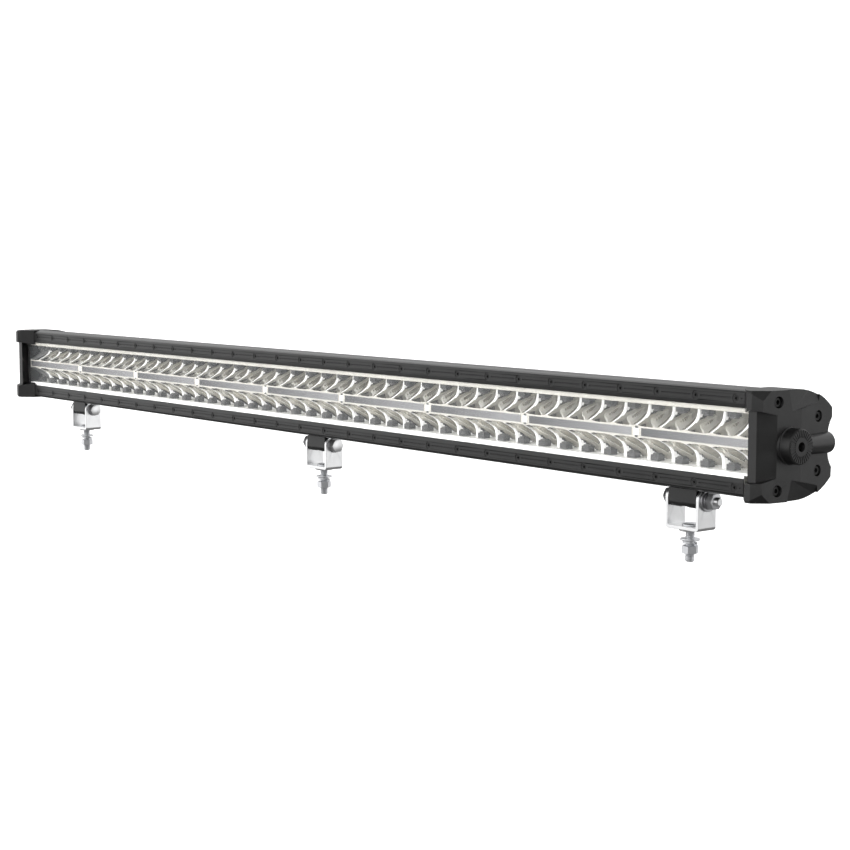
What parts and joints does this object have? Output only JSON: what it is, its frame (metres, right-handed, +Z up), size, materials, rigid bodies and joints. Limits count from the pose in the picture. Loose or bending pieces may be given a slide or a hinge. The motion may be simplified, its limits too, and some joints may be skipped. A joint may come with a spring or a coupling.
{
  "type": "led light bar",
  "caption": "Two-row LED light bar with a finned extruded housing, clear window, guarded end caps with serrated bosses, and sliding, tilting foot brackets on studs.",
  "frame": {"origin": "on the axis of the centre bracket's stud, at the underside of its round seat, where it meets what it is bolted to", "axes": "+X along the bar towards its right end as seen by someone facing its window, +Y from the window to the fins, +Z up"},
  "size_m": [1.338, 0.0865, 0.156],
  "materials": {
    "housing_black": "black powder coat on extruded aluminium, fine satin texture",
    "bezel_black": "black anodised, satin",
    "cap_black": "black powder coat on die-cast aluminium, satin",
    "screw_black": "black oxide steel",
    "lens_clear": "clear hard-coated polycarbonate",
    "seal_black": "black silicone",
    "reflector_chrome": "vacuum metallised plastic, bright",
    "strip_grey": "mid grey satin strip",
    "board_white": "white solder mask on an aluminium board",
    "led_package": "dark grey moulded LED package with a pale top",
    "driver_green": "green circuit board with potted parts",
    "foot_black": "black powder coat, satin",
    "stainless": "polished stainless sheet",
    "zinc_steel": "bright stainless fastener",
    "washer_dark": "dark serrated steel",
    "gland_black": "black nylon"
  },
  "bodies": {
    "light_bar": {"housing": "housing_black", "bezel_top": "bezel_black", "bezel_bottom": "bezel_black", "bezel_screws_top": "screw_black", "bezel_screws_bottom": "screw_black", "lens": "lens_clear", "lens_seal": "seal_black", "centre_strip": "strip_grey", "led_board_upper": "board_white", "led_board_lower": "board_white", "led_packages_upper": "led_package", "led_packages_lower": "led_package", "driver_board": "driver_green", "cable_gland": "gland_black", "breather_vent": "gland_black", "end_cap_right": "cap_black", "end_cap_left": "cap_black", "end_gasket_right": "seal_black", "end_gasket_left": "seal_black", "end_cap_screws_right": "screw_black", "end_cap_screws_left": "screw_black", "reflector_1": "reflector_chrome", "reflector_2": "reflector_chrome", "reflector_3": "reflector_chrome", "reflector_4": "reflector_chrome", "reflector_5": "reflector_chrome", "reflector_6": "reflector_chrome", "reflector_7": "reflector_chrome", "reflector_8": "reflector_chrome", "reflector_9": "reflector_chrome"},
    "foot_left": {"foot_left": "foot_black"},
    "bracket_left": {"u_bracket_left": "stainless", "pivot_bolt_left": "zinc_steel", "pivot_washers_left": "washer_dark", "pivot_nut_left": "zinc_steel", "mount_stud_left": "zinc_steel", "stud_washer_left": "zinc_steel", "stud_spring_washer_left": "zinc_steel", "stud_nut_left": "zinc_steel"},
    "foot_centre": {"foot_centre": "foot_black"},
    "bracket_centre": {"u_bracket_centre": "stainless", "pivot_bolt_centre": "zinc_steel", "pivot_washers_centre": "washer_dark", "pivot_nut_centre": "zinc_steel", "mount_stud_centre": "zinc_steel", "stud_washer_centre": "zinc_steel", "stud_spring_washer_centre": "zinc_steel", "stud_nut_centre": "zinc_steel"},
    "foot_right": {"foot_right": "foot_black"},
    "bracket_right": {"u_bracket_right": "stainless", "pivot_bolt_right": "zinc_steel", "pivot_washers_right": "washer_dark", "pivot_nut_right": "zinc_steel", "mount_stud_right": "zinc_steel", "stud_washer_right": "zinc_steel", "stud_spring_washer_right": "zinc_steel", "stud_nut_right": "zinc_steel"}
  },
  "joints": [
    {"name": "slide_left", "type": "slide", "parent": "light_bar", "child": "foot_left", "axis": [1, 0, 0], "range_m": [-0.06, 0.3]},
    {"name": "tilt_left", "type": "hinge", "parent": "foot_left", "child": "bracket_left", "pos_m": [-0.54, 0, 0.0281], "axis": [1, 0, 0], "range_deg": [-80, 80]},
    {"name": "slide_centre", "type": "slide", "parent": "light_bar", "child": "foot_centre", "axis": [1, 0, 0], "range_m": [-0.15, 0.15]},
    {"name": "tilt_centre", "type": "hinge", "parent": "foot_centre", "child": "bracket_centre", "pos_m": [0, 0, 0.0281], "axis": [1, 0, 0], "range_deg": [-80, 80]},
    {"name": "slide_right", "type": "slide", "parent": "light_bar", "child": "foot_right", "axis": [1, 0, 0], "range_m": [-0.3, 0.06]},
    {"name": "tilt_right", "type": "hinge", "parent": "foot_right", "child": "bracket_right", "pos_m": [0.54, 0, 0.0281], "axis": [1, 0, 0], "range_deg": [-80, 80]}
  ]
}
